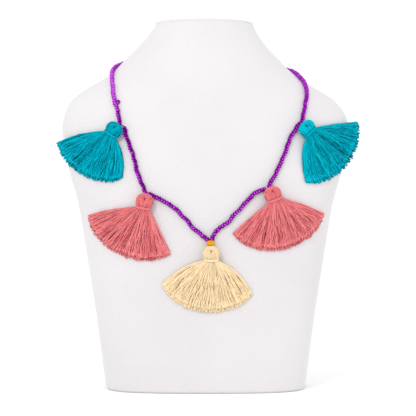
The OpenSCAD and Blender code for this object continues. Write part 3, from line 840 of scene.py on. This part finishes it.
# %% Paths of the skirt's yarns
def skirt_yarns(name, rng, count=640):
    """Centre lines (yarn, ring, 3), radii and tints (yarn, ring) of the yarns of one skirt. A yarn's
    number times 0.618 spreads its neighbours evenly through the heap."""
    lean, (first, last) = tassels[name][2], tassels[name][4:6]
    left, centre, right, left_spread, right_spread = tassels[name][6:]
    top_cut, ragged = skirt_habits[name][0], skirt_habits[name][2]
    s = np.concatenate([[-0.04], np.linspace(0, 0.94, 15) ** 1.1, [0.97, 1]])[None, :]
    run = np.clip(s, 0, 1)
    number = np.arange(count)
    q = (-1 + 2 * (number + rng.random(count)) / count)[:, None]
    h = ((number * 0.618034 + rng.normal(0, 0.04, count)) % 1)[:, None]
    upper = ease(0.42, 0.55, h)
    fan, held, aside, sway = in_locks(q, h, run, rng)
    fan = opened(name, fan, h, run, rng)
    spread = 1 + (1 - run) * np.where(q < 0, left_spread, right_spread) * np.abs(fan)
    way = np.radians(mix(first, last, (fan * spread + 1) / 2) - lean)
    reach = centre + (right - left) / 2 * fan + ((right + left) / 2 - centre) * fan**2
    longer = rng.normal(0, 0.018, (count, 1)).clip(-0.05, 0.034) + 0.008 * sway[1].clip(-1, 1)
    inner = 1 - 0.7 * np.abs(fan).clip(0, 1) ** 4
    length = skirt_l * reach * (1 + ragged * longer * inner - top_cut * inner * upper)
    phase = rng.uniform(0, 2 * np.pi, (count, 1))
    loose = np.where(rng.random((count, 1)) < 0.04, 2.2, 1)
    waves = rng.uniform(8, 22, (count, 1)) * run
    wander = crimp * loose * np.sqrt(run) * np.sin(waves + phase)
    wander = inner * (wander + rng.normal(0, end_curl, (count, 1)) * ease(0.88, 1, run))
    across = (neck_w / 2 - yarn_r) * np.sin(np.radians(90 * q)) * mix(0.96, 1, ease(0, 0.1, run))
    across = across + length * run * np.sin(way) + wander * np.cos(way)
    down = length * np.where(s < 0, s, s * np.cos(way)) - wander * np.sin(way)
    lift, hollow = skirt_lift(name, q, h, fan, run, held, aside, sway)
    lift = lift + rise * ease(0.1, 0.5, run) * np.sin(waves + 2 * phase)
    lift = np.maximum(lift, lay_gap + yarn_r)
    squeeze = mix(0.65, 1, ease(0, 0.4, run)) * mix(1, 1.4, ease(0.92, 0.98, run))
    radii = yarn_r * squeeze * (1 + rng.normal(0, 0.07, (count, 1)).clip(-0.15, 0.15))
    tint = skirt_tint(name, h, upper, run, hollow, aside, sway, waves + 3 * phase, rng)
    return on_tassel(name, across, down, lift), radii, tint.clip(0, 1)


# %% [markdown]
# ## The head of a tassel
#
# The skein is folded over the thread and tied below, and that leaves a ball which stays full down to
# the binding. Seen from the front, each yarn comes up from the neck, goes round the eye where the
# skein is folded, and comes down again on the other side. So a yarn of the head is an arch: an arc
# round the eye above, and a leg on each side. Near the eye the arches are turned a little, like a
# swirl, and no two have the same thickness, height or shade. They are laid on the ball, which is
# pressed in at the eye, half of them over its front and half over its back. A plain core of the same
# cotton fills the inside. Its low tint darkens the gaps between the arches as painted shade, and it
# is painted darker still behind the eye, where little light gets in.

# %% Form of a head
eye_place, eye_hole, dimple = 0.40, 0.14, 0.45
# Columns: how much darker the core is painted behind the eye, as painted shade, the middle tint of
# the arches
head_shades = {
    "cream": [0.7, 0.12],
    "pink_left": [0.3, 0.45],
    "pink_right": [0.15, 0.5],
    "teal_left": [0.1, 0.42],
    "teal_right": [0.0, 0.75],
}
# Columns: share of the head's height from its top, width and thickness as a share of the whole
head_rows = np.array([[0.0, 0.0], [0.015, 0.20], [0.05, 0.38], [0.12, 0.60], [0.28, 0.85], [0.48, 0.98],
                      [0.62, 1.00], [0.80, 0.98], [0.92, 0.94], [1.0, 0.88]])


def head_form(share):
    """Half width, half thickness and lift of a head at a share of its height: the rows of the table
    joined smoothly, and the tied neck below them."""
    row = smooth_rows(head_rows, share)[..., 0]
    under = ease(0.96, 1.04, share)
    lift = mix(head_lift, neck_lift, ease(0.75, 1.05, share))
    return mix(head_w / 2 * row, neck_w / 2, under), mix(head_t / 2 * row, neck_t / 2, under), lift


def eye_press(name, down, share_across):
    """What is left of the thickness at the dimple: one less a bell over down and round."""
    off = (down - head_down(name, eye_place)) / (0.18 * head_h)
    return 1 - dimple * bell(off, np.degrees(np.arcsin(share_across)) / 22)


# %% Paths of the head's yarns
def head_arches(name, rng, count=19, front=True):
    """Centre lines (yarn, ring, 3), radii and outward ways of the arches of one side of a head. With
    t = pi |w|, an arch is (size sin t, size cos t) above the eye, and below it a leg that closes in
    on the neck with the square of its share."""
    w = np.linspace(-1, 1, 45)[None, :]
    turn = np.pi * np.abs(w)
    place = (np.arange(count) + 0.5 + rng.uniform(-0.3, 0.3, count)) / count
    size = eye_hole + (1 - eye_hole) * np.sin(np.radians(87 * place))[:, None]
    leg = np.clip(turn / (np.pi / 2) - 1, 0, 1)
    follow = leg * (2 - leg)
    top, eye = head_down(name, 0), head_down(name, eye_place)
    foot = 0.3 * binding_h
    arc_across, arc_down = size * head_w / 2 * np.sin(turn), eye + size * (top - eye) * np.cos(turn)
    arc_down = np.where(turn > np.pi / 2, eye, arc_down)
    closing = size - eye_hole * (1 - place[:, None]) * ease(0.02, 0.35, leg)
    leg_across = closing * mix(head_w / 2, neck_w / 2, leg**2)
    leg_down = mix(eye, foot, leg)
    wave = rng.uniform(0, 2 * np.pi, (count, 1))
    across = np.sign(w) * mix(arc_across, leg_across, follow) + 0.2 * np.sin(5 * w + wave)
    down = mix(arc_down, leg_down, follow) + 0.2 * np.sin(6 * w + 2 * wave)
    swirl = rng.choice([-0.7, 0.7]) * np.exp(-(across**2 + (down - eye) ** 2) / 5)
    across, down = (across * np.cos(swirl) - (down - eye) * np.sin(swirl),
                    eye + across * np.sin(swirl) + (down - eye) * np.cos(swirl))
    fold = rng.uniform(0.82, 1.15, (count, 1))
    radii = yarn_r * fold * mix(1.05, 0.8, ease(0.6, 1, leg)) * np.ones_like(across)
    sunk = rng.uniform(0, 0.38, (count, 1)) * (1 - ease(0.6, 1, leg)) + 0.1 * np.sin(7 * w + wave)
    down = np.clip(down, top + yarn_r, None)
    half_w, half_t, middle = head_form((down - top) / (head_h * tassels[name][3]))
    share = np.clip(across / np.maximum(half_w - radii, 0.2), -0.995, 0.995)
    bulge = np.sqrt(1 - share**2)
    press = eye_press(name, down, share) if front else -1
    path = on_tassel(name, share * (half_w - radii), down,
                     middle + (half_t - radii - sunk.clip(0, 1) * bulge) * bulge * press)
    centre = on_tassel(name, 0.0 * down, mix(head_down(name, 0.5), down, 0.45), 0 * middle + head_lift)
    return path, radii, unit(path - centre)


# %% Core of a head
def head_core(name, shrink=0.9, sides=32):
    """A closed ball inside the arches, in rings from its top down to the neck."""
    share = np.array([0.07, 0.10, 0.15, 0.22, 0.3, 0.36, 0.42, 0.48, 0.56, 0.66, 0.78, 0.9, 1.0, 1.1])
    share = share[:, None]
    down = head_down(name, share)
    turn = round_turn(sides)[None, :]
    half_w, half_t, middle = head_form(share)
    half_w, half_t = np.maximum(half_w - shrink, 0.5), np.maximum(half_t - shrink, 0.5)
    press = np.where(np.cos(turn) > 0, eye_press(name, down, np.sin(turn)), 1)
    points = on_tassel(name, half_w * np.sin(turn), down, middle + half_t * np.cos(turn) * press)
    # A low tint over the whole core, painted darker still behind the eye as painted shade
    near = bell((share - eye_place) / 0.14, np.degrees(np.arccos(np.cos(turn))) / 30)
    tint = 0.05 - head_shades[name][0] * near
    return closed_part(points, tint)


# %% [markdown]
# ## The binding
#
# A few turns of the same yarn are wound round the neck under the ball. One tube follows a helix on an
# oval: across = W cos a, lift = middle + T sin a, and down grows evenly with a and sags in front. At
# both ends the yarn dives under its own turns, so that no cut end shows.

# %% Paths of the bindings
def binding_yarn(name, turns=3.0, radius=0.32, sag=0.8, steps=160):
    """Centre line, radii and outward ways of the yarn wound round one neck."""
    part = np.linspace(0, 1, steps)
    a = (turns * part + 0.75) * 2 * np.pi
    tuck = 0.5 * (1 - ease(0, 0.06, part) * (1 - ease(0.94, 1, part)))
    out = radius - tuck
    across = (neck_w / 2 + out) * np.cos(a)
    lift = neck_lift + (neck_t / 2 + out) * np.sin(a)
    down = (part - 0.5) * (binding_h - 2 * radius + 0.3) - binding_h / 2 + sag * np.sin(a).clip(0, 1)
    path = on_tassel(name, across, down, lift)
    centre = on_tassel(name, 0 * across, down, 0 * lift + neck_lift)
    return path[None], np.full((1, steps), radius), unit(path - centre)[None]


# %% [markdown]
# ## Cotton yarn
#
# Tassel cotton is dull and soft. Two plies are twisted together, so slanting valleys run round each
# yarn, and single fibres stand off it. The valleys are a sine over the UV map, two waves round the
# yarn and one wave in 1.6 millimetres along it, and they are painted a little darker as shade. The
# tint shifts each yarn between three near shades of one dye, with half the first one as a painted
# shade colour for the darkest places, and sheen on the shader stands for the fuzz that catches light
# at the edges.

# %% Cotton
ply_pitch = 1.6


def cotton(name, shades, fuzz, gloss):
    """Twisted plies as sin(2 pi (2u + v / pitch)), with fine fibres from a noise. The plies' valleys
    are painted darker as shade.
    """
    material, tree, shader = surface(
        name, Roughness=0.9, Specular_IOR_Level=gloss, Sheen_Weight=fuzz, Sheen_Roughness=0.45)
    places = uv_place(tree)
    ply = wave_of(tree, weighted(tree, ((places, "X"), 2.0), ((places, "Y"), 1 / ply_pitch)))
    fibre = noise(tree, 3800.0, 3.0)
    # The ply wave paints the valleys between the plies darker, as painted shade
    shade = weighted(tree, (ply, 0.13), (piece_tint(tree), 0.75), (fibre, 0.25))
    # Half the darkest dye shade, a painted shade colour for the darkest places
    painted_shade = tuple(0.5 * part for part in shades[0])
    colour = ramp(tree, shade, [(0.0, painted_shade)] + list(zip((0.1, 0.5, 0.95), shades)))
    height = weighted(tree, (ply, 0.5), (fibre, 1.0))
    finish_with(tree, shader, colour, height, strength=0.5, distance=0.0001)
    return material


cottons = {
    "cream": cotton(
        "cotton_cream", [(0.76, 0.58, 0.35), (0.89, 0.70, 0.44), (0.94, 0.77, 0.50)], 0.12, 0.2),
    "pink": cotton(
        "cotton_pink", [(0.42, 0.058, 0.07), (0.72, 0.167, 0.182), (0.88, 0.29, 0.30)], 0.15, 0.2),
    "teal": cotton(
        "cotton_teal", [(0.0, 0.09, 0.15), (0.0, 0.34, 0.45), (0.0, 0.53, 0.65)], 0.01, 0.03),
}

# %% [markdown]
# ## The tassels
#
# Now each tassel is put together as one mesh: the yarns of its skirt, the arches over the front and
# the back of its head, and the core. The binding is a piece of its own, as it is in the CAD model.

# %% Make the tassels and the bindings
for number, name in enumerate(tassels):
    rng = np.random.default_rng(40 + number)
    dye = name.split("_")[0]
    paths, radii, tint = skirt_yarns(name, rng)
    ahead = np.broadcast_to([0.0, -1.0, 0.0], paths.shape)
    parts = [tubes(paths, radii, ahead, 5, tint), head_core(name)]
    for front in (True, False):
        arches, thickness, out = head_arches(name, rng, front=front)
        shades = (head_shades[name][1] + rng.uniform(-0.35, 0.3, len(arches))).clip(0.12, 1)
        parts.append(tubes(arches, thickness, out, 8, shades))
    make_piece("tassel_yarn_" + name, joined(parts), cottons[dye], ["tassel_" + name])
    path, thickness, out = binding_yarn(name)
    make_piece("binding_yarn_" + name, tubes(path, thickness, out, 8, np.array([0.6])),
               cottons[dye], ["binding_" + name])

# %% [markdown]
# ## The orange bead and the clasp
#
# The orange bead is a short round one that takes both threads into the cream tassel. The clasp
# behind the neck is a plain barrel of two halves that screw together. Both are sections turned round
# an axis, like the seed beads, with more steps because each is made only once. Fine ridges round the
# barrel give the fingers a grip.

# %% Forms of the orange bead and the clasp
orange_r, orange_low, orange_high, orange_bore = 2.8, 1.2, 2.2, 1.13
low, high = (np.array(corner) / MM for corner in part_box("orange_bead"))
orange_middle = np.array([(low[0] + high[0]) / 2, (low[1] + high[1]) / 2, low[2] + orange_low])
clasp_middle = np.array([sum(corner) / 2 for corner in zip(*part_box("barrel_clasp"))]) / MM


def orange_part(shoulder=1.5, rim=0.35, foot_r=2.7):
    """The section of a worn ball with a flat foot: a dome r = R - s + s cos t, z = R (sin t - 1) + top
    with a shoulder s, and a rounded rim below."""
    turn = np.radians(np.linspace(0, 90, 17))[:, None]
    outside = np.hstack([orange_r - shoulder + shoulder * np.cos(turn),
                         orange_r * np.sin(turn) - orange_r + orange_high])
    corner = np.radians(np.linspace(0, 90, 6))[:, None]
    below = [foot_r - rim, rim - orange_low] + rim * np.hstack([np.sin(corner), -np.cos(corner)])
    bore = np.array([[orange_bore + 0.02, orange_high - 0.02], [orange_bore, orange_high - 0.1],
                     [orange_bore, 0.4], [orange_bore, 0.1 - orange_low]])
    ring, block = turned(np.concatenate([below, outside, bore]), 48)
    return ring + orange_middle, [block], np.full(len(ring), 0.5)


def clasp_part(ridges=30, ridge=0.02, sides=120):
    """Half a barrel's outline in columns radius and along, mirrored: tip, collar and body, with a
    bore sunk into each end. The radius of the body's grip is r (1 + ridge cos(ridges a))."""
    half = np.array([[0.65, 3.5], [0.65, 5.9], [0.75, 6.0], [1.55, 6.0], [1.68, 5.9], [1.7, 5.35],
                     [2.0, 5.25], [2.1, 5.1], [2.1, 4.65], [2.4, 4.5], [2.5, 4.3], [2.5, 1.0],
                     [2.46, 0.8], [2.46, 0.25], [2.3, 0.12], [2.3, 0.0]])
    outline = np.concatenate([half * [1, -1], half[-2::-1]])
    turn = round_turn(sides)[None, :]
    gripped = np.isclose(outline[:, :1], half[:, 0].max())
    radius = outline[:, :1] * (1 + ridge * gripped * np.cos(ridges * turn))
    along = np.broadcast_to(outline[:, 1:], radius.shape)
    points = np.stack([along, radius * np.cos(turn), radius * np.sin(turn)], -1) + clasp_middle
    return closed_part(points, 0.5)


# %% Finishes of the orange bead and the clasp
def clouded(name, stops, scale, detail, strength, distance, rough=None, **values):
    """A finish whose colour and relief follow one noise, and its roughness too where it is given."""
    material, tree, shader = surface(name, **values)
    cloud = noise(tree, scale, detail)
    finish_with(tree, shader, ramp(tree, cloud, stops), cloud, strength, distance)
    if rough:
        vary_roughness(tree, shader, cloud, *rough)
    return material


gloss = clouded("orange_bead_gloss", [(0.3, (0.76, 0.24, 0.0)), (0.7, (0.90, 0.36, 0.0))],
                600.0, 3.0, 0.05, 0.00005, Roughness=0.35, Coat_Weight=0.1, Coat_Roughness=0.06,
                Specular_IOR_Level=0.1)
silver = clouded("clasp_metal", [(0.3, (0.58, 0.57, 0.55)), (0.7, (0.80, 0.79, 0.77))],
                 2600.0, 4.0, 0.1, 0.00003, rough=(0.22, 0.42), Metallic=1.0)
make_piece("orange_bead_round", orange_part(), gloss, ["orange_bead"])
make_piece("barrel_clasp_turned", clasp_part(), silver, ["barrel_clasp"])

# %% [markdown]
# ## The thread
#
# The thread shows only in the narrow gaps between beads and beside the heads. It is one tube for each
# side, through every leg in turn: out of the clasp, along the beads, round inside each head, and down
# through the orange bead into the cream head.

# %% Make the threads
thread_r, hang_apart = 0.36, 0.5
eye_in, eye_lift = 0.23 * head_w, lay_gap + 0.22 * head_t


def head_turn(side, leg, name):
    """The place inside a head's rim, on the side that the two legs come from."""
    middle = np.array(spot(name, 0.0, head_down(name, 0.5)))
    ends = np.array([leg_path(side, leg)[-1], leg_path(side, leg + 1)[0]])[:, [0, 2]]
    way = unit(ends.mean(0) - middle)
    return over_front(*(middle + way * eye_in), eye_lift)


def thread_part(side, sign):
    """One smooth tube through the clasp, the three legs, two heads and the orange bead, where both
    threads hang side by side."""
    clasp_end = clasp_middle + np.outer([4.0, 6.3], [sign, 0, 0])
    hang = orange_middle + [sign * hang_apart, 0, 0] + np.outer([2.7, -1.5, -4.4], [0, 0, 1])
    stops = [clasp_end, leg_path(side, 0, step=4)]
    for leg, upper in ((0, "teal_"), (1, "pink_")):
        stops += [head_turn(side, leg, upper + side)[None], leg_path(side, leg + 1, step=4)]
    path = smooth_path(np.concatenate(stops + [hang]), 1.0)
    print(side, "thread is", round(float(np.linalg.norm(np.diff(path, axis=0), axis=1).sum()), 1), "mm")
    away = unit(path * [bust_front / bust_half_w, 1, 0])
    path = path + unit(np.cross(away, np.gradient(path, axis=0))) * stray(path)[:, None]
    return tubes(path[None], np.full((1, len(path)), thread_r), away[None], 6, np.array([0.2]))


def thread_finish():
    """Dark purple nylon with a fine twist over the UV map, its valleys painted darker as shade."""
    material, tree, shader = surface("beading_thread", Roughness=0.5)
    places = uv_place(tree)
    twist = wave_of(tree, weighted(tree, ((places, "X"), 2.0), ((places, "Y"), 1.0)))
    # The ramp paints the valleys of the twist darker, as painted shade
    colour = ramp(tree, twist, [(0.0, (0.05, 0.005, 0.07)), (1.0, (0.14, 0.015, 0.19))])
    finish_with(tree, shader, colour, twist, strength=0.3, distance=0.00005)
    return material


nylon = thread_finish()
for side, sign in (("left", -1), ("right", 1)):
    make_piece("thread_" + side, thread_part(side, sign), nylon)

# %% [markdown]
# ## Floor and light
#
# The photograph is a bright shop picture: white all round, soft light from every side, and a little
# more from the upper left, so that each tassel has a faint shadow at its lower right. A white world
# gives the even light, an area lamp gives the direction, a weak panel lifts the right side, and the
# plain colour transform keeps white as white. The floor is a wide pale sheet under the bust.

# %% Make the floor and the lights
def stage_floor(half=6.0):
    """A flat square sheet in metres, at the height of the bust's base."""
    mesh = bpy.data.meshes.new("floor")
    corners = [(-half, -half, 0), (half, -half, 0), (half, half, 0), (-half, half, 0)]
    mesh.from_pydata(corners, [], [(0, 1, 2, 3)])
    paper = surface("floor_paper", Base_Color=(0.98, 0.98, 0.98, 1), Roughness=0.9,
                    Specular_IOR_Level=0.1)[0]
    mesh.materials.append(paper)
    add_object("floor", mesh)


def area_lamp(name, place, aim, size, power):
    """A square lamp in metres and watts, turned to face a point."""
    data = bpy.data.lights.new(name, "AREA")
    data.shape, data.size, data.energy = "SQUARE", size, power
    lamp = add_object(name, data)
    way = unit(np.array(aim) - np.array(place))
    lamp.location = place
    lamp.rotation_euler = (np.arccos(-way[2]), 0, np.arctan2(way[1], way[0]) - np.pi / 2)


stage_floor()
world = bpy.data.worlds.new("white_room")
world.use_nodes = True
background = world.node_tree.nodes["Background"].inputs
background["Color"].default_value = (1, 1, 1, 1)
background["Strength"].default_value = 1.06
bpy.context.scene.world = world
area_lamp("key_lamp", (-1.3, -3.1, 2.1), (0, 0, 0.15), 0.7, 34)
area_lamp("right_panel", (1.3, -0.4, 0.1), (0, 0, 0.1), 0.6, 1.6)
bpy.context.scene.view_settings.view_transform = "Standard"
